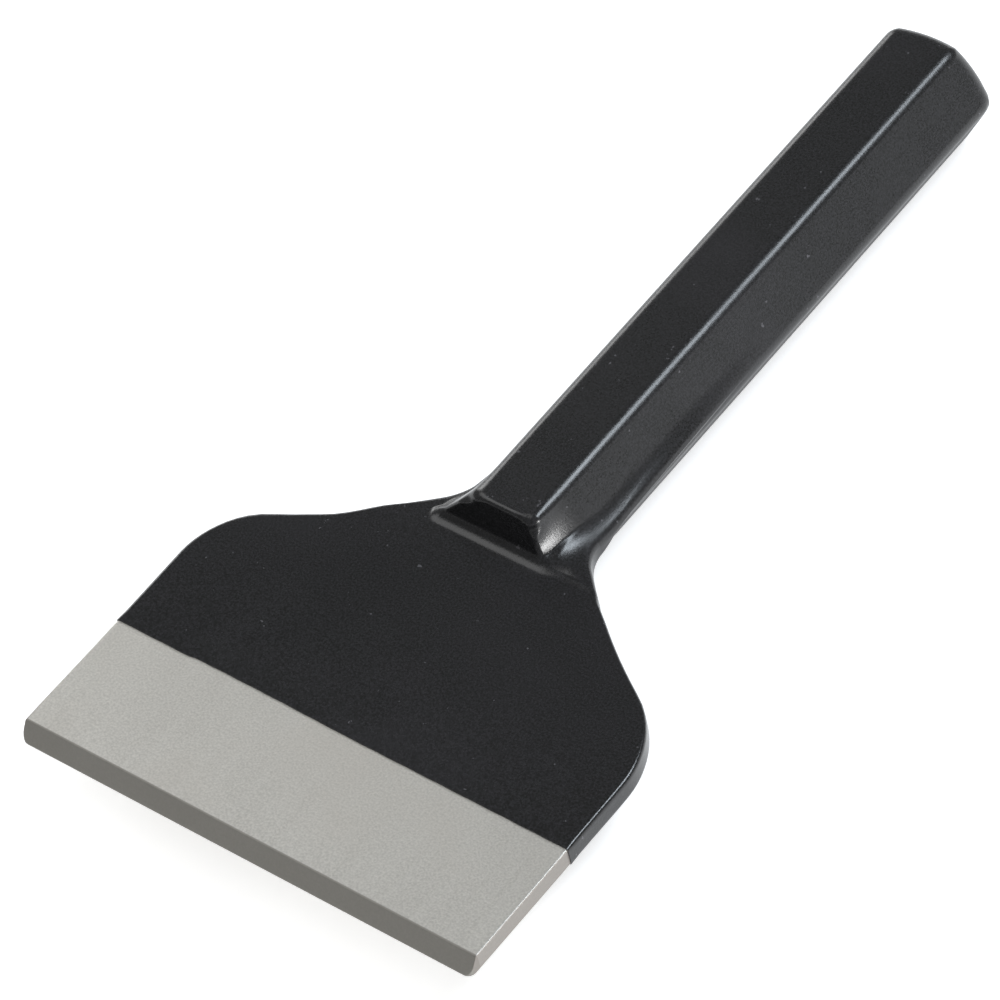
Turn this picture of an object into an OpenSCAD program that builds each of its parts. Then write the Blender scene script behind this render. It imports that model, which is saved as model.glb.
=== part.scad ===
// Brick bolster chisel: a wide flat blade forged in one piece with a hexagonal shank.
// A hard black coating covers all of it except the ground steel strip at the cutting edge.
// X runs across the blade, Y from the cutting edge to the struck end, and Z up.
// The origin is on the surface that the tool lies on, below the middle of its length.

/* [Blade] */
// Width of the cutting edge
blade_width = 101.6; // [80:0.1:127]
// Thickness of the blade at the cutting edge
edge_thickness = 3.7; // [3:0.1:6]
// Thickness of the blade where it meets the shank
neck_thickness = 4.7; // [4:0.1:8]
// Height of the blade's middle above the shank's axis
blade_rise = 0.9; // [0:0.1:2]
// Length of the bevel, measured along the blade
bevel_length = 2.6; // [1:0.1:6]
// Rounding of the cutting edge's two corners
corner_radius = 1.6; // [0.5:0.1:6]

/* [Shoulders] */
// Distance from the cutting edge to the start of the shoulders
shoulder_start = 45; // [40:0.5:60]
// Rounding of the shoulders
shoulder_radius = 19; // [8:0.5:20]
// Angle that the rounding of the shoulders turns through
shoulder_turn = 60; // [50:1:60]
// Radius of the long hollow flanks between the shoulders and the neck
flank_radius = 120; // [60:1:200]
// Rounding where the flanks run into the neck
flare_radius = 9.5; // [6:0.5:16]
// Half width of the neck at the end of that rounding
neck_half_width = 13.6; // [13:0.1:16]
// Angle at which the neck's edges run on into the shank
neck_draft = 3.5; // [2:0.5:10]

/* [Shank] */
// Length of the whole tool
overall_length = 212.4; // [180:0.5:260]
// Distance across the flats of the steel shank
across_flats = 23; // [20:0.1:26]
// Rounding of the shank's corners
ridge_radius = 1; // [0.5:0.1:3]
// Distance from the cutting edge to the foot of the step
step_position = 76.5; // [70:0.5:90]
// Lean of the step towards the struck end
step_lean = 15; // [0:1:30]
// Rounding at the foot of the step
step_foot_radius = 2.2; // [1:0.1:5]
// Rounding at the top of the step
step_top_radius = 0.5; // [0.2:0.1:2]

/* [Struck end] */
// Radius of the crowned face
crown_radius = 30; // [20:1:80]
// Rounding around the crowned face
crown_edge_radius = 1.8; // [1:0.1:5]

/* [Coating] */
// Thickness of the black coating
coating = 0.2; // [0.1:0.05:0.5]
// Width of the bare ground strip at the cutting edge
bare_strip = 28.4; // [15:0.1:38]

/* [Hidden] */

// Round edges are drawn with a point every few degrees
arc_step = 3;
// Reach of the cutting shapes beyond the steel
margin = 10;

half_width = blade_width / 2;
half_flats = across_flats / 2;
steel_length = overall_length - coating;
// The blade's edges end inside the shank, at this distance from its axis
hidden_half_width = 0.9 * half_flats;
// The coated underside of the shank lies on the surface, which puts its axis at this height
axis_height = half_flats + coating;

// Three arcs run from the blade's side to the neck, each tangent to the next
shoulder_centre = [half_width - shoulder_radius, shoulder_start];
flank_centre = shoulder_centre + (shoulder_radius + flank_radius) * [cos(shoulder_turn), sin(shoulder_turn)];
flare_x = neck_half_width + flare_radius * cos(neck_draft);
flare_turn = acos((flank_centre.x - flare_x) / (flank_radius - flare_radius));
flare_centre = [flare_x, flank_centre.y - (flank_radius - flare_radius) * sin(flare_turn)];
neck_y = flare_centre.y - flare_radius * sin(neck_draft);
neck_end = neck_y + (neck_half_width - hidden_half_width) / tan(neck_draft);

// Numbers from one end to the other in even steps of at most arc_step
function sweep(from, to) =
    let (count = ceil(abs(to - from) / arc_step)) [for (i = [0:count]) from + (to - from) * i / count];

// Points of an arc
function arc(centre, radius, from, to) =
    [for (a = sweep(from, to)) centre + radius * [cos(a), sin(a)]];

function mirrored(points) = [for (i = [len(points) - 1:-1:0]) [-points[i].x, points[i].y]];

// Right half of the blade's outline, grown by the thickness of a coating
function half_outline(grow) = concat(
    arc([half_width - corner_radius, corner_radius], corner_radius + grow, -90, 0),
    arc(shoulder_centre, shoulder_radius + grow, 0, shoulder_turn),
    arc(flank_centre, flank_radius - grow, 180 + shoulder_turn, 180 + flare_turn),
    arc(flare_centre, flare_radius - grow, 180 + flare_turn, 180 + neck_draft),
    [[hidden_half_width + grow, neck_end]]);

// Outline of the shank's section, with flats above and below and a ridge on each side
function hexagon(grow) = [
    for (ridge = [0:60:300], turn = sweep(-30, 30))
        (half_flats - ridge_radius) / cos(30) * [cos(ridge), sin(ridge)]
            + (ridge_radius + grow) * [cos(ridge + turn), sin(ridge + turn)]];

// Half of the shank's side view, from the step's foot over its lip to the struck end.
// face is the height of the blade's face at the foot.
function step_profile(face, grow) =
    let (foot_r = step_foot_radius - grow,
         lip_r = step_top_radius + grow,
         top = half_flats + grow,
         wall = [step_position - grow * cos(step_lean), face + grow * sin(step_lean)],
         foot = [wall.x + ((face + grow + foot_r - wall.y) * sin(step_lean) - foot_r) / cos(step_lean),
                 face + grow + foot_r],
         lip = [wall.x + ((top - lip_r - wall.y) * sin(step_lean) + lip_r) / cos(step_lean), top - lip_r])
    concat([[foot.x, 0]],
           arc(foot, foot_r, -90, -step_lean),
           arc(lip, lip_r, 180 - step_lean, 90),
           [[steel_length + margin, top], [steel_length + margin, 0]]);

// Extrudes a side view, drawn along Y and Z, across the tool
module across(width) {
    rotate([90, 0, 90]) linear_extrude(height = width, center = true) children();
}

// The blade: its outline, cut to the tapering side view with the bevel on top
module blade(grow) {
    intersection() {
        linear_extrude(height = across_flats, center = true)
            polygon(concat(half_outline(grow), mirrored(half_outline(grow))));
        across(blade_width + margin) polygon([
            [0, blade_rise - edge_thickness / 2 - grow],
            [bevel_length, blade_rise + edge_thickness / 2 + grow],
            [neck_end, blade_rise + neck_thickness / 2 + grow],
            [neck_end, blade_rise - neck_thickness / 2 - grow]]);
    }
}

// The crowned end, as a turned shape that the hexagon is cut to
module crown(grow) {
    end = steel_length + grow;
    edge_r = crown_edge_radius + grow;
    dome_r = crown_radius + grow;
    reach = half_flats / cos(30) + grow;
    tilt = asin((reach - edge_r) / (dome_r - edge_r));
    edge_y = end - dome_r + (dome_r - edge_r) * cos(tilt);
    rotate([-90, 0, 0]) rotate_extrude($fn = 96) polygon(concat(
        [[0, 0]],
        [[reach, 0]],
        arc([reach - edge_r, edge_y], edge_r, 0, 90 - tilt),
        arc([0, end - dome_r], dome_r, 90 - tilt, 90)));
}

// The shank, from the step to the struck end
module shank(grow) {
    intersection() {
        rotate([-90, 0, 0]) linear_extrude(height = steel_length + margin) polygon(hexagon(grow));
        across(across_flats * 2) {
            polygon(step_profile(blade_rise + neck_thickness / 2, grow));
            mirror([0, 1]) polygon(step_profile(neck_thickness / 2 - blade_rise, grow));
        }
        crown(grow);
    }
}

module whole_tool(grow) {
    blade(grow);
    shank(grow);
}

// Moves the tool from its own axis to the surface that it lies on
module lying() {
    translate([0, -overall_length / 2, axis_height]) children();
}

module steel_forging() {
    color("silver") lying() whole_tool(0);
}

module black_coating() {
    color("#252726") lying() difference() {
        whole_tool(coating);
        whole_tool(0);
        translate([-blade_width, bare_strip - blade_width, -blade_width])
            cube([2 * blade_width, blade_width, 2 * blade_width]);
    }
}

steel_forging();
black_coating();
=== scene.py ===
import math

import bmesh
import bpy
import numpy as np
from mathutils import Matrix, Vector


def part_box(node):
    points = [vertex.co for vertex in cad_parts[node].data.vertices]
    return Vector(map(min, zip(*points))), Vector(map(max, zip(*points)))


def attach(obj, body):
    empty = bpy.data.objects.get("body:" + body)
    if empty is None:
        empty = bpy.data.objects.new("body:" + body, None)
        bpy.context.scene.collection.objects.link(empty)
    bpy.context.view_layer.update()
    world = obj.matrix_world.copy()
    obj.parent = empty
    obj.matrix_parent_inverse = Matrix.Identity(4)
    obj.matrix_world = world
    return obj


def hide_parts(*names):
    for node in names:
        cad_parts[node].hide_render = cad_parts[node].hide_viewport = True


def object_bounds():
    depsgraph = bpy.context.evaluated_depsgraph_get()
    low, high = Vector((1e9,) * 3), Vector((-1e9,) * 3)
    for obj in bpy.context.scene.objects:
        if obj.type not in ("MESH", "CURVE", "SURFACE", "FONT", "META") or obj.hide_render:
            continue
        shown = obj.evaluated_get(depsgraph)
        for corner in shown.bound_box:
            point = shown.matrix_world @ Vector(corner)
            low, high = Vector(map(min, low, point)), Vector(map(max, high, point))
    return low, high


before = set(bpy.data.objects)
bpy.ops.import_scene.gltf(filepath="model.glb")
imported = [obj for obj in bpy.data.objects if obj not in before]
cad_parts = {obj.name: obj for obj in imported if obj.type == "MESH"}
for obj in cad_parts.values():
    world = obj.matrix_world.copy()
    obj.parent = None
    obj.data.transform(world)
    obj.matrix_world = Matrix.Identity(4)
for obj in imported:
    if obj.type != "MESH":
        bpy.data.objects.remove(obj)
cad_low, cad_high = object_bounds()

MM = 0.001

# ---------------------------------------------------------------- sizes, in millimetres
# Y runs from the cutting edge, and Z from the shank's axis, until to_frame() moves a point to the shared frame.
steel_low, steel_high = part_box("steel_forging")
coat_low, coat_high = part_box("black_coating")
BLADE_WIDTH = (steel_high.x - steel_low.x) / MM
LENGTH = (cad_high[1] - cad_low[1]) / MM
COAT = (coat_high.x - steel_high.x) / MM
BARE_STRIP = (coat_low.y - steel_low.y) / MM
HALF_FLATS = (coat_high.z - coat_low.z) / MM / 2 - COAT
AXIS_HEIGHT = HALF_FLATS + COAT

EDGE_THICKNESS = 3.7
NECK_THICKNESS = 4.7
BLADE_RISE = 0.9
BEVEL_LENGTH = 2.6
BEVEL_LAND = 0.15
BEVEL_EDGE_RADIUS = 0.12
BLADE_END = 150
CORNER_RADIUS = 1.6
TIP_SPREAD = 0.18
GROUND_EDGE_RADIUS = 0.25
BLADE_EDGE_RADIUS = 0.6
NECK_EDGE_ROUNDING = 0.4

SHOULDER_START = 45
SHOULDER_RADIUS = 19
SHOULDER_TURN = math.radians(60)
FLANK_RADIUS = 120
FLARE_RADIUS = 9.5
NECK_HALF_WIDTH = 14
NECK_DRAFT = math.radians(6)
NECK_LETTING_OUT = 1
NECK_OVERLAP = 2
FLARE_MARGIN = 6

RIDGE_RADIUS = 1
STEP_POSITION = 76.5
STEP_LEAN = math.radians(15)
STEP_LIP_RADIUS = 0.5
LIP_WIDENING = 1.2
STEP_FOOT_RADIUS = 2.2
FOOT_NARROWING = 1.2
SIDE_FILLET = 2.6
HOLLOW_RADIUS = 7.3
HOLLOW_X = 14.2
HOLLOW_RISE = 6.1
HOLLOW_REACH = 11
LEFT_OPENING = math.radians(16)
# Forged outline's unevenness: across position, height and half length of each swelling.
SWELLINGS = ((-24, 0.42, 3.2), (-31.4, -0.36, 3.4), (-46, 0.5, 5.5), (49, -0.25, 5))
CROWN_RADIUS = 30
CROWN_TILT = 0.05
CROWN_EDGE_RADIUS = 1.8
CROWN_CLEARANCE = 0.05

# Stretches of y, or of x or z where the name ends so, over which one form passes into the next.
TIP_STRETCH = (4, 24)
SWELLING_STRETCH = (42, 52)
COATED_EDGE_STRETCH = (BARE_STRIP - 1, BARE_STRIP + 3)
NECK_EDGE_STRETCH = (75, 81)
TRIM_STRETCH = (70, 75)
LETTING_OUT_STRETCH = (75, 80)
FACE_STRETCH = (79, 93)
BACK_STRETCH = (86, 96)
OPENING_STRETCH = (STEP_POSITION, 87)
LIP_STRETCH_X = (3, 7)
LIP_STRETCH_Z = (8, 10)
FOOT_STRETCH = (77, 79)
SIDE_FILLET_STRETCH = (76.5, 79)
SIDE_FILLET_STRETCH_X = (8.5, 11)
SIDE_FILLET_STRETCH_Z = (-0.5, 1)


# ---------------------------------------------------------------- the tool as a distance function
def round_in(a, b, r):
    """What is inside both a and b, with a rounded edge between them."""
    edge = np.hypot(np.maximum(a + r, 0), np.maximum(b + r, 0))
    return np.minimum(-r, np.maximum(a, b)) + edge


def round_join(a, b, r):
    """What is inside a or b, with a fillet between them."""
    fillet = np.hypot(np.maximum(r - a, 0), np.maximum(r - b, 0))
    return np.maximum(r, np.minimum(a, b)) - fillet


def ramp(value, start, end):
    """0 before start and 1 after end, with a smooth turn between them."""
    t = np.clip((value - start) / (end - start), 0, 1)
    return t * t * (3 - 2 * t)


HALF_WIDTH = BLADE_WIDTH / 2
shoulder = np.array([HALF_WIDTH - SHOULDER_RADIUS, SHOULDER_START])
shoulder_end = np.array([math.cos(SHOULDER_TURN), math.sin(SHOULDER_TURN)])
flank = shoulder + (SHOULDER_RADIUS + FLANK_RADIUS) * shoulder_end
flare_x = NECK_HALF_WIDTH + FLARE_RADIUS * math.cos(NECK_DRAFT)
FLARE_TURN = math.acos((flank[0] - flare_x) / (FLANK_RADIUS - FLARE_RADIUS))
flare = np.array([flare_x, flank[1] - (FLANK_RADIUS - FLARE_RADIUS) * math.sin(FLARE_TURN)])
flare_low = flare[1] - FLARE_RADIUS * math.sin(FLARE_TURN) - FLARE_MARGIN
neck_y = flare[1] - FLARE_RADIUS * math.sin(NECK_DRAFT)


def beyond(x, y, centre, turn):
    """How far a point is past the line through centre at angle turn, on the side of the struck end."""
    return (y - centre[1]) * math.cos(turn) - (x - centre[0]) * math.sin(turn)


def outline(x, y):
    """Distance from the blade's outline, seen from above: side, shoulder, flank, flare and neck."""
    spreading = TIP_SPREAD * (1 - ramp(y, *TIP_STRETCH)) * (x < 0)
    swelling = sum(height * np.exp(-((x - at) / reach) ** 2) for at, height, reach in SWELLINGS)
    swelling = ramp(y, *SWELLING_STRETCH) * swelling
    x = np.abs(x)
    side = x - HALF_WIDTH
    round_shoulder = np.hypot(x - shoulder[0], y - shoulder[1]) - SHOULDER_RADIUS
    hollow_flank = FLANK_RADIUS - np.hypot(x - flank[0], y - flank[1])
    hollow_flare = FLARE_RADIUS - np.hypot(x - flare[0], y - flare[1])
    neck = (x - NECK_HALF_WIDTH) * math.cos(NECK_DRAFT) + (y - neck_y) * math.sin(NECK_DRAFT)
    distance = np.where(y > SHOULDER_START, round_shoulder, side)
    distance = np.where(beyond(x, y, shoulder, SHOULDER_TURN) > 0, hollow_flank, distance)
    distance = np.where((beyond(x, y, flare, FLARE_TURN) > 0) & (y > flare_low), hollow_flare, distance)
    distance = np.where(y > neck_y, neck, distance)
    distance = np.maximum(distance - swelling, x - HALF_WIDTH) - spreading
    return round_in(distance, -y, CORNER_RADIUS)


def blade_part(x, y, z, plan, edge):
    """The blade, which thins out inside the shank. At the neck it is let out past the outline, to be trimmed later."""
    thickness = EDGE_THICKNESS + (NECK_THICKNESS - EDGE_THICKNESS) * np.clip(y / neck_y, 0, 1)
    face = z - BLADE_RISE - thickness / 2 * (1 - ramp(y, *FACE_STRETCH))
    back = BLADE_RISE - z - thickness / 2 * (1 - ramp(y, *BACK_STRETCH))
    slab = np.maximum(np.maximum(face, back), y - BLADE_END)
    return round_in(slab, plan - NECK_LETTING_OUT * ramp(y, *LETTING_OUT_STRETCH), edge)


def shank_part(x, y, z):
    """The hexagonal shank from the step to the crowned end, with the hollow at the right of the neck."""
    roof = np.abs(z) - HALF_FLATS
    slant = math.pi / 6 + (x < 0) * LEFT_OPENING * (1 - ramp(y, *OPENING_STRETCH))
    ridge_x = HALF_FLATS * math.tan(math.pi / 6)
    upper = (np.abs(x) - ridge_x) * np.cos(slant) + (z - HALF_FLATS) * np.sin(slant)
    lower = np.abs(x) * math.cos(math.pi / 6) - z / 2 - HALF_FLATS
    section = round_in(upper, lower, RIDGE_RADIUS)
    rise = np.abs(z - BLADE_RISE) - NECK_THICKNESS / 2
    hollow = HOLLOW_RADIUS - np.hypot(np.minimum(np.abs(x) - HOLLOW_X, 0), rise - HOLLOW_RISE)
    fading = (1 - np.clip((y - STEP_POSITION) / HOLLOW_REACH, 0, 1)) ** 2 * (x > 0)
    shank = round_in(section + (hollow - section) * fading, roof, RIDGE_RADIUS)

    wall = (STEP_POSITION - y) * math.cos(STEP_LEAN) + rise * math.sin(STEP_LEAN)
    lip = STEP_LIP_RADIUS + LIP_WIDENING * ramp(np.abs(x), *LIP_STRETCH_X) * ramp(z, *LIP_STRETCH_Z)
    shank = round_in(shank, wall, lip)

    crown_y = LENGTH - COAT - CROWN_CLEARANCE - CROWN_RADIUS
    crown = np.sqrt(x * x + (y - CROWN_TILT * x - crown_y) ** 2 + z * z) - CROWN_RADIUS
    crown = np.where(y > crown_y, crown, -CROWN_RADIUS)
    return round_in(shank, crown, CROWN_EDGE_RADIUS)


def solid(p):
    """Distance from the steel's surface, in millimetres, negative inside."""
    x, y, z = p[..., 0], p[..., 1], p[..., 2]
    plan = outline(x, y)
    edge = GROUND_EDGE_RADIUS + (BLADE_EDGE_RADIUS - GROUND_EDGE_RADIUS) * ramp(y, *COATED_EDGE_STRETCH)
    edge = edge + NECK_EDGE_ROUNDING * ramp(y, *NECK_EDGE_STRETCH)

    side_fillet = ramp(x, *SIDE_FILLET_STRETCH_X) * ramp(y, *SIDE_FILLET_STRETCH) * ramp(z, *SIDE_FILLET_STRETCH_Z)
    foot = STEP_FOOT_RADIUS - FOOT_NARROWING * ramp(y, *FOOT_STRETCH) + SIDE_FILLET * side_fillet
    whole = round_join(blade_part(x, y, z, plan, edge), shank_part(x, y, z), foot)
    limit = np.minimum(plan, np.maximum(np.abs(x) - NECK_HALF_WIDTH, neck_y - NECK_OVERLAP - y))
    whole = round_in(whole, limit - NECK_LETTING_OUT + NECK_LETTING_OUT * ramp(y, *TRIM_STRETCH), edge)

    bottom = BLADE_RISE - EDGE_THICKNESS / 2
    slope = math.atan2(EDGE_THICKNESS, BEVEL_LENGTH)
    bevel = (z - bottom - BEVEL_LAND) * math.cos(slope) - y * math.sin(slope)
    return round_in(whole, bevel, BEVEL_EDGE_RADIUS)


GRADIENT_STEP = 0.01
RAY_LENGTH = 26.0
RAY_HALVINGS = 34
OUTLINE_HALVINGS = 40


def gradient(p):
    """Unit outward normals of the surface at the points p."""
    shifts = np.eye(3) * GRADIENT_STEP
    slopes = np.stack([solid(p + shift) - solid(p - shift) for shift in shifts], -1)
    return slopes / np.linalg.norm(slopes, axis=-1, keepdims=True)


def cast(origin, direction, level):
    """Where rays from inside the tool meet the surface that lies level millimetres outside the steel."""
    near = np.zeros(origin.shape[:-1])
    far = np.full(origin.shape[:-1], RAY_LENGTH)
    for _ in range(RAY_HALVINGS):
        middle = (near + far) / 2
        inside = solid(origin + direction * middle[..., None]) < level
        near = np.where(inside, middle, near)
        far = np.where(inside, far, middle)
    return origin + direction * near[..., None]


# ---------------------------------------------------------------- the grid of rays that meets the surface
# A flat sheet of points lies inside the tool. Rays leave it straight up, straight down, and in a fan at its border.
FAN_STEPS = 26
FAN_TRIALS = 181
FAN_LENGTH_PER_RADIAN = 12
FAN_LEAST = 0.002
RIDGE_COLUMNS = [0, 2, 3.8, 5, 5.5, 5.8, 6.1, 6.4, 6.6, *np.arange(6.8, 8.5, 0.09), 8.8]
OUTER_COLUMNS = 30
SHANK_SHEET = 10.3
SHEET_FALL_STRETCH = (70, 84)
BORDER = 1.9
END_BORDER = 9
FRONT_DEPTH = 5
SLOPE_STEP = 0.05
CORNER_TURNS = 8


def steps(*stretches):
    """Row positions along the tool, from (start, end, spacing) stretches."""
    rows = [np.arange(a, b - d / 2, d) for a, b, d in stretches]
    return np.concatenate(rows + [[stretches[-1][1]]])


SHANK_ROWS = (
    (45, 73, 1.4), (73, 76, 0.5), (76, 79.6, 0.11), (79.6, 92, 0.4),
    (92, 110, 1.5), (110, LENGTH - END_BORDER, 4))


def half_width(y):
    """The outline's half width at each y."""
    near, far = np.zeros_like(y), np.full_like(y, HALF_WIDTH + 1)
    for _ in range(OUTLINE_HALVINGS):
        middle = (near + far) / 2
        inside = outline(middle, y) < 0
        near, far = np.where(inside, middle, near), np.where(inside, far, middle)
    return near


def sheet_border(rows):
    """Half width of the sheet at each row, and the direction in which its border faces."""
    slope = (half_width(rows + SLOPE_STEP) - half_width(rows - SLOPE_STEP)) / (2 * SLOPE_STEP)
    slope = np.where(rows < FRONT_DEPTH, 0, slope)
    turn = np.arctan(-slope)
    border = half_width(np.maximum(rows, FRONT_DEPTH)) - BORDER / np.cos(turn)
    return np.maximum(border, SHANK_SHEET), turn


def fan_tilts(start, heading, level):
    """Tilts of the rays in each fan, closer together where the surface turns more sharply."""
    trial = np.radians(np.linspace(90, -90, FAN_TRIALS))
    flat = np.cos(trial)[None, :]
    direction = np.stack([flat * np.cos(heading), flat * np.sin(heading), np.sin(trial) + 0 * heading], -1)
    points = cast(np.broadcast_to(start[:, None], direction.shape), direction, level)
    turning = np.linalg.norm(np.diff(gradient(points), axis=1), axis=-1)
    length = np.linalg.norm(np.diff(points, axis=1), axis=-1)
    step = turning + length / FAN_LENGTH_PER_RADIAN + FAN_LEAST
    measure = np.cumsum(np.pad(step, ((0, 0), (1, 0))), axis=1)
    share = np.linspace(0, 1, FAN_STEPS + 1)[1:-1]
    return np.stack([np.interp(share * row[-1], row, trial) for row in measure])


def skin(rows, level, closed, front=None):
    """Points and faces of the surface that lies level outside the steel, and the loop of points at its front."""
    count = len(rows)
    border, turn = sheet_border(rows)
    inner = np.array(RIDGE_COLUMNS)
    share = np.linspace(0, 1, OUTER_COLUMNS + 1)[1:]
    right = np.concatenate([
        np.tile(inner, (count, 1)),
        inner[-1] + (border[:, None] - inner[-1]) * share], 1)
    x = np.concatenate([-right[:, :0:-1], right], 1)
    y = np.tile(rows[:, None], (1, x.shape[1]))
    if front is not None:
        y = y + front(x) * (1 - ramp(y, rows[0], rows[0] + FRONT_DEPTH))
    z = BLADE_RISE * (1 - ramp(y, *SHEET_FALL_STRETCH))
    origin = np.stack([x, y, z], -1)
    up = np.zeros_like(origin) + [0, 0, 1]
    top, bottom = cast(origin, up, level), cast(origin, -up, level)
    columns = x.shape[1]
    points = np.concatenate([top.reshape(-1, 3), bottom.reshape(-1, 3)])
    sheet = np.arange(count * columns).reshape(count, columns)
    under = sheet + count * columns

    faces = []
    for i in range(count - 1):
        for j in range(columns - 1):
            faces.append((sheet[i, j], sheet[i, j + 1], sheet[i + 1, j + 1], sheet[i + 1, j]))
            faces.append((under[i, j], under[i + 1, j], under[i + 1, j + 1], under[i, j + 1]))

    last = count - 1
    route = [(i, columns - 1, turn[i]) for i in range(count)]
    quarter = np.linspace(0, math.pi / 2, CORNER_TURNS + 1)[1:-1]
    route += [(last, columns - 1, a) for a in quarter]
    route += [(last, j, math.pi / 2) for j in range(columns - 1, -1, -1)]
    route += [(last, 0, math.pi / 2 + a) for a in quarter]
    route += [(i, 0, math.pi - turn[i]) for i in range(count - 1, -1, -1)]
    if closed:
        route += [(0, 0, math.pi + a) for a in quarter]
        route += [(0, j, 1.5 * math.pi) for j in range(columns)]
        route += [(0, columns - 1, 1.5 * math.pi + a) for a in quarter]
    start = np.stack([origin[i, j] for i, j, _ in route])
    heading = np.array([a for _, _, a in route])[:, None]
    tilt = fan_tilts(start, heading, level)
    direction = np.stack([np.cos(tilt) * np.cos(heading), np.cos(tilt) * np.sin(heading), np.sin(tilt)], -1)
    strip = cast(np.broadcast_to(start[:, None], direction.shape), direction, level)
    first = len(points)
    points = np.concatenate([points, strip.reshape(-1, 3)])
    between = first + np.arange(strip.shape[0] * strip.shape[1]).reshape(strip.shape[:2])
    ladder = np.array([[sheet[i, j], *between[k], under[i, j]] for k, (i, j, _) in enumerate(route)])
    pairs = list(zip(range(len(route) - 1), range(1, len(route))))
    if closed:
        pairs.append((len(route) - 1, 0))
    for k, n in pairs:
        for m in range(ladder.shape[1] - 1):
            corners = (ladder[k, m], ladder[k, m + 1], ladder[n, m + 1], ladder[n, m])
            faces.append(tuple(dict.fromkeys(corners)))
    loop = [*sheet[0, ::-1], *ladder[-1][1:-1], *under[0], *ladder[0][-2:0:-1]]
    return points, [f for f in faces if len(f) > 2], loop


def to_frame(points):
    """Moves points from the tool's own axis to the shared frame, in metres."""
    return (points + [0, -LENGTH / 2, AXIS_HEIGHT]) * MM


def build(name, points, normals, faces, flat=0):
    """A mesh with its exact surface normals. The last flat faces keep their own normals."""
    mesh = bpy.data.meshes.new(name)
    mesh.from_pydata(to_frame(points).tolist(), [], [tuple(int(i) for i in f) for f in faces])
    shape = bmesh.new()
    shape.from_mesh(mesh)
    bmesh.ops.recalc_face_normals(shape, faces=shape.faces)
    shape.to_mesh(mesh)
    shape.free()
    mesh.polygons.foreach_set("use_smooth", [True] * len(mesh.polygons))
    loops = []
    for polygon in mesh.polygons:
        own = polygon.index >= len(faces) - flat
        loops += [polygon.normal if own else normals[i] for i in polygon.vertices]
    mesh.normals_split_custom_set(loops)
    piece = bpy.data.objects.new(name, mesh)
    bpy.context.scene.collection.objects.link(piece)
    return piece


def make_forging():
    rows = steps((BORDER, 2.3, 0.2), (2.3, 2.7, 0.05), (2.7, 3.5, 0.4), (3.5, 45, 3.2), *SHANK_ROWS)
    points, faces, _ = skin(rows, 0, closed=True)
    return build("steel_forging_skin", points, gradient(points), faces)


# The coating's front edge: where each step in it starts and ends, and its height. Then its shift and its ripple.
FRONT_STEPS = ((-34.5, -32, 0.3), (-20, 5, -0.2))
FRONT_SHIFT = -0.1
RIPPLE_HEIGHT = 0.03
RIPPLE_RATE = 0.9


def coating_front(x):
    """How the coating's front edge wanders from a straight line, in millimetres."""
    wander = sum(height * ramp(x, start, end) for start, end, height in FRONT_STEPS)
    return wander + FRONT_SHIFT + RIPPLE_HEIGHT * np.sin(RIPPLE_RATE * x)


def make_coating():
    rows = steps((BARE_STRIP, 31, 0.8), (31, 45, 2.8), *SHANK_ROWS)
    outer, faces, loop = skin(rows, COAT, closed=False, front=coating_front)
    inner, _, _ = skin(rows, 0, closed=False, front=coating_front)
    count = len(outer)
    faces = faces + [tuple(i + count for i in reversed(f)) for f in faces]
    ring = loop + loop[:1]
    rim = [(a, b, b + count, a + count) for a, b in zip(ring, ring[1:])]
    normals = np.concatenate([gradient(outer), -gradient(inner)])
    return build("black_coating_skin", np.concatenate([outer, inner]), normals, faces + rim, flat=len(rim))


# ---------------------------------------------------------------- materials
ENAMEL_DARK = (0.003, 0.0034, 0.0032)
ENAMEL_PALE = (0.016, 0.016, 0.0178)
ENAMEL_PATCH = (0.012, 0.0107, 0.0151)
ENAMEL_WORN = (0.12, 0.1164, 0.1296)
STEEL_DARK = (0.449, 0.44, 0.412)
STEEL_PALE = (0.592, 0.58, 0.542)
STEEL_STREAK = (0.612, 0.6, 0.569)
STEEL_SMUDGE = (0.449, 0.42, 0.381)
# Painted shade: darker steel colours for the bevel and the blade's sides, standing in for the dimmer light those faces
# catch.
BEVEL_PAINTED_SHADE = (0.235, 0.224, 0.201)
SIDE_PAINTED_SHADE = (0.275, 0.252, 0.232)

# Noise scales, in cells per metre.
ENAMEL_GRAIN_SCALE = 2600
ENAMEL_PEEL_SCALE = 420
ENAMEL_PATCH_SCALE = 38
ENAMEL_SPECK_SCALE = 620
STEEL_GRAIN_SCALE = 2400
STEEL_STREAK_SCALE = 900
STEEL_SMUDGE_SCALE = 42
STREAK_STRETCH = 0.04

# Where the enamel's roughness changes, in metres of the shared frame.
NECK_STRETCH = (-0.035, -0.02)
SHANK_AXIS_STRETCH = (0.0085, 0.0115)
BLADE_ROUGHNESS = 0.2
SHANK_ROUGHNESS = 0.28
UNDERSIDE_ROUGHENING = 0.25
ENAMEL_IOR = 1.5
STEEL_ROUGHNESS = 0.46
BEVEL_ROUGHNESS = 0.55
BEVEL_MARGIN = 0.1
SIDE_MARGIN = 0.15
# How strongly the painted shade darkens the bevel and the sides.
PAINTED_SHADE_STRENGTH = 0.85


def new_material(name):
    material = bpy.data.materials.new(name)
    material.use_nodes = True
    tree = material.node_tree
    shader = tree.nodes["Principled BSDF"]
    return material, tree, shader


def node(tree, kind, inputs=None, **settings):
    """A new node, with its settings and with its inputs set to values or joined to other sockets."""
    made = tree.nodes.new(kind)
    for key, value in settings.items():
        setattr(made, key, value)
    for key, value in (inputs or {}).items():
        if isinstance(value, bpy.types.NodeSocket):
            tree.links.new(value, made.inputs[key])
        else:
            made.inputs[key].default_value = value
    return made


def spread(tree, value, start, end, low, high):
    """Takes a value from the range start to end into the range low to high."""
    inputs = {"Value": value, "From Min": start, "From Max": end, "To Min": low, "To Max": high}
    return node(tree, "ShaderNodeMapRange", inputs).outputs["Result"]


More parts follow.
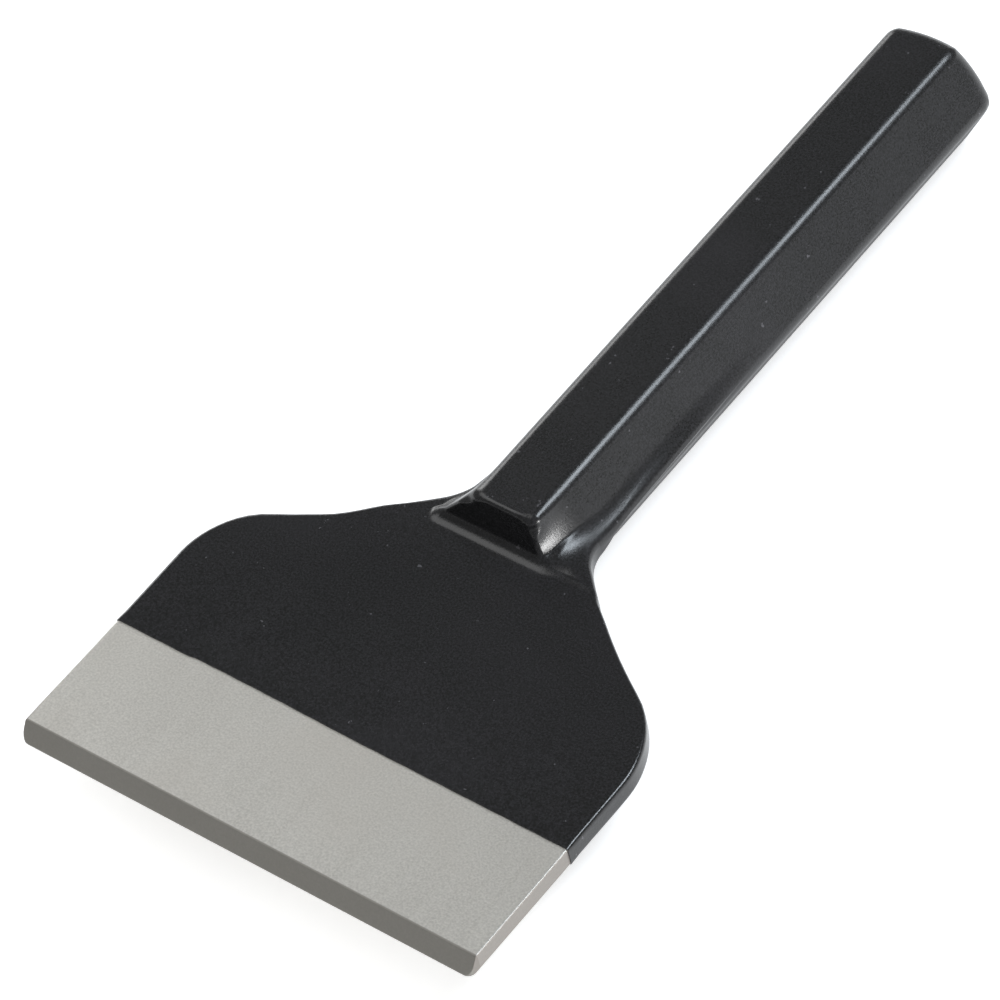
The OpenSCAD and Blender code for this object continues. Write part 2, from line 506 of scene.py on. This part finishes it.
def noise(tree, place, scale, detail=3):
    return node(tree, "ShaderNodeTexNoise", {"Vector": place, "Scale": scale, "Detail": detail}).outputs["Fac"]


def sums(tree, first, *others):
    for other in others:
        first = node(tree, "ShaderNodeMath", {0: first, 1: other}, operation="ADD").outputs[0]
    return first


def shades(tree, factor, low, high):
    return node(tree, "ShaderNodeMix", {0: factor, 6: (*low, 1), 7: (*high, 1)}, data_type="RGBA").outputs[2]


def tinted(tree, factor, colour, other):
    return node(tree, "ShaderNodeMix", {0: factor, 6: colour, 7: (*other, 1)}, data_type="RGBA").outputs[2]


def bumps(tree, shader, *layers):
    """Joins bump layers, each a height, a strength and a depth in metres."""
    normal = None
    for height, strength, depth in layers:
        inputs = {"Height": height, "Strength": strength, "Distance": depth}
        if normal:
            inputs["Normal"] = normal
        normal = node(tree, "ShaderNodeBump", inputs).outputs["Normal"]
    tree.links.new(normal, shader.inputs["Normal"])


def enamel():
    """Black satin enamel, rougher on the shank and lower down, with grain, faint patches and a few pale specks."""
    material, tree, shader = new_material("black_enamel")
    place = node(tree, "ShaderNodeTexCoord").outputs["Object"]
    axes = node(tree, "ShaderNodeSeparateXYZ", {0: place})
    grain = noise(tree, place, ENAMEL_GRAIN_SCALE)
    peel = noise(tree, place, ENAMEL_PEEL_SCALE, 2)
    patches = noise(tree, place, ENAMEL_PATCH_SCALE, 4)
    wear = spread(tree, noise(tree, place, ENAMEL_SPECK_SCALE, 2), 0.735, 0.76, 0, 1)
    colour = shades(tree, spread(tree, grain, 0.35, 0.65, 0, 1), ENAMEL_DARK, ENAMEL_PALE)
    colour = tinted(tree, spread(tree, patches, 0.5, 0.75, 0, 0.25), colour, ENAMEL_PATCH)
    colour = tinted(tree, spread(tree, wear, 0, 1, 0, 0.5), colour, ENAMEL_WORN)
    tree.links.new(colour, shader.inputs["Base Color"])
    roughness = sums(
        tree,
        spread(tree, axes.outputs["Y"], *NECK_STRETCH, BLADE_ROUGHNESS, SHANK_ROUGHNESS),
        spread(tree, patches, 0.3, 0.7, -0.03, 0.05),
        spread(tree, grain, 0.3, 0.7, -0.02, 0.02),
        spread(tree, wear, 0, 1, 0, 0.15),
        spread(tree, axes.outputs["Z"], *SHANK_AXIS_STRETCH, UNDERSIDE_ROUGHENING, 0))
    tree.links.new(roughness, shader.inputs["Roughness"])
    bumps(tree, shader, (peel, 0.05, 0.0002), (grain, 0.2, 0.0001))
    shader.inputs["IOR"].default_value = ENAMEL_IOR
    return material


def ground_steel():
    """Ground steel with grain, faint streaks along the tool and smudges, and painted shade that darkens the bevel and
    the sides.
    """
    material, tree, shader = new_material("bare_steel")
    place = node(tree, "ShaderNodeTexCoord").outputs["Object"]
    axes = node(tree, "ShaderNodeSeparateXYZ", {0: place})
    scale = (1, STREAK_STRETCH, 1)
    drawn_out = node(tree, "ShaderNodeMapping", {"Vector": place, "Scale": scale}).outputs["Vector"]
    grain = noise(tree, place, STEEL_GRAIN_SCALE)
    streaks = noise(tree, drawn_out, STEEL_STREAK_SCALE)
    smudges = noise(tree, place, STEEL_SMUDGE_SCALE, 5)
    bevel_end = float(steel_low.y) + (BEVEL_LENGTH + BEVEL_MARGIN) * MM
    at_bevel = spread(tree, axes.outputs["Y"], bevel_end, bevel_end + 0.0002, 1, 0)
    across = node(tree, "ShaderNodeMath", {0: axes.outputs["X"]}, operation="ABSOLUTE").outputs[0]
    side = (HALF_WIDTH - SIDE_MARGIN) * MM
    at_side = spread(tree, across, side, side + 0.0001, 0, 1)
    colour = shades(tree, spread(tree, grain, 0.3, 0.7, 0, 1), STEEL_DARK, STEEL_PALE)
    colour = tinted(tree, spread(tree, streaks, 0.35, 0.75, 0, 0.15), colour, STEEL_STREAK)
    colour = tinted(tree, spread(tree, smudges, 0.5, 0.75, 0, 0.35), colour, STEEL_SMUDGE)
    # Painted shade: the bevel and the sides are darkened in colour.
    colour = tinted(tree, spread(tree, at_bevel, 0, 1, 0, PAINTED_SHADE_STRENGTH), colour, BEVEL_PAINTED_SHADE)
    colour = tinted(tree, spread(tree, at_side, 0, 1, 0, PAINTED_SHADE_STRENGTH), colour, SIDE_PAINTED_SHADE)
    tree.links.new(colour, shader.inputs["Base Color"])
    roughness = sums(
        tree,
        spread(tree, at_bevel, 0, 1, STEEL_ROUGHNESS, BEVEL_ROUGHNESS),
        spread(tree, streaks, 0.3, 0.7, -0.02, 0.02),
        spread(tree, smudges, 0.4, 0.7, 0, 0.06))
    tree.links.new(roughness, shader.inputs["Roughness"])
    bumps(tree, shader, (streaks, 0.03, 0.0001), (grain, 0.3, 0.0001))
    shader.inputs["Metallic"].default_value = 1
    return material


# ---------------------------------------------------------------- camera, floor and lights
AIM = Vector((-0.011, -0.0179, 0.0088))
DISTANCE = 1.2164
AZIMUTH = math.radians(48.37)
ELEVATION = math.radians(48.66)
ROLL = math.radians(14.38)
LENS = 243.7
CLIP_END = 20

FLOOR_HALF_SIZE = 6
FLOOR_HEIGHT = -0.0001
FLOOR_SHADE = 0.85
FLOOR_ROUGHNESS = 0.8
FLOOR_GLOW = 0.55

WORLD_STRENGTH = 0.28
WHITE = (1, 1, 1)
# Each light aims at the tool's middle: name, place, size, power and colour.
LIGHTS = (
    ("key", (-0.85, -0.3, 1.2), (1.0, 1.0), 6, WHITE),
    ("ridge", (0.6, 0.66, 1.2), (0.5, 0.5), 12.5, (0.84, 0.92, 1)),
    ("right", (1.2, -0.06, 0.15), (0.35, 0.28), 9.5, WHITE),
    ("left", (-1.1, 0.6, 0.42), (0.6, 0.5), 4, WHITE))


def make_camera():
    data = bpy.data.cameras.new("camera")
    data.lens = LENS
    data.clip_end = CLIP_END
    camera = bpy.data.objects.new("camera", data)
    bpy.context.scene.collection.objects.link(camera)
    back = Vector((
        math.sin(AZIMUTH) * math.cos(ELEVATION),
        -math.cos(AZIMUTH) * math.cos(ELEVATION),
        math.sin(ELEVATION)))
    turn = back.to_track_quat("Z", "Y").to_matrix().to_4x4() @ Matrix.Rotation(-ROLL, 4, "Z")
    camera.matrix_world = Matrix.Translation(AIM + back * DISTANCE) @ turn
    bpy.context.scene.camera = camera


def make_floor():
    corners = [(-1, -1), (1, -1), (1, 1), (-1, 1)]
    points = [(x * FLOOR_HALF_SIZE, y * FLOOR_HALF_SIZE, FLOOR_HEIGHT) for x, y in corners]
    mesh = bpy.data.meshes.new("floor")
    mesh.from_pydata(points, [], [(0, 1, 2, 3)])
    floor = bpy.data.objects.new("floor", mesh)
    bpy.context.scene.collection.objects.link(floor)
    material, tree, shader = new_material("pale_floor")
    shader.inputs["Base Color"].default_value = (FLOOR_SHADE, FLOOR_SHADE, FLOOR_SHADE, 1)
    shader.inputs["Roughness"].default_value = FLOOR_ROUGHNESS
    shader.inputs["Emission Color"].default_value = (*WHITE, 1)
    shader.inputs["Emission Strength"].default_value = FLOOR_GLOW
    mesh.materials.append(material)


def area_light(name, place, size, power, tint):
    data = bpy.data.lights.new(name, "AREA")
    data.shape = "RECTANGLE"
    data.size, data.size_y = size
    data.energy = power
    data.color = tint
    light = bpy.data.objects.new(name, data)
    bpy.context.scene.collection.objects.link(light)
    light.location = place
    light.rotation_euler = Vector(place).to_track_quat("Z", "Y").to_euler()


def make_lights():
    world = bpy.data.worlds.new("studio")
    bpy.context.scene.world = world
    world.use_nodes = True
    background = world.node_tree.nodes["Background"]
    background.inputs["Color"].default_value = (*WHITE, 1)
    background.inputs["Strength"].default_value = WORLD_STRENGTH
    for name, place, size, power, tint in LIGHTS:
        area_light(name, place, size, power, tint)


make_camera()
make_floor()
make_lights()
bpy.context.scene.view_settings.view_transform = "Standard"

forging = make_forging()
forging.data.materials.append(ground_steel())
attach(forging, "root")
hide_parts("steel_forging")

coating = make_coating()
coating.data.materials.append(enamel())
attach(coating, "root")
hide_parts("black_coating")
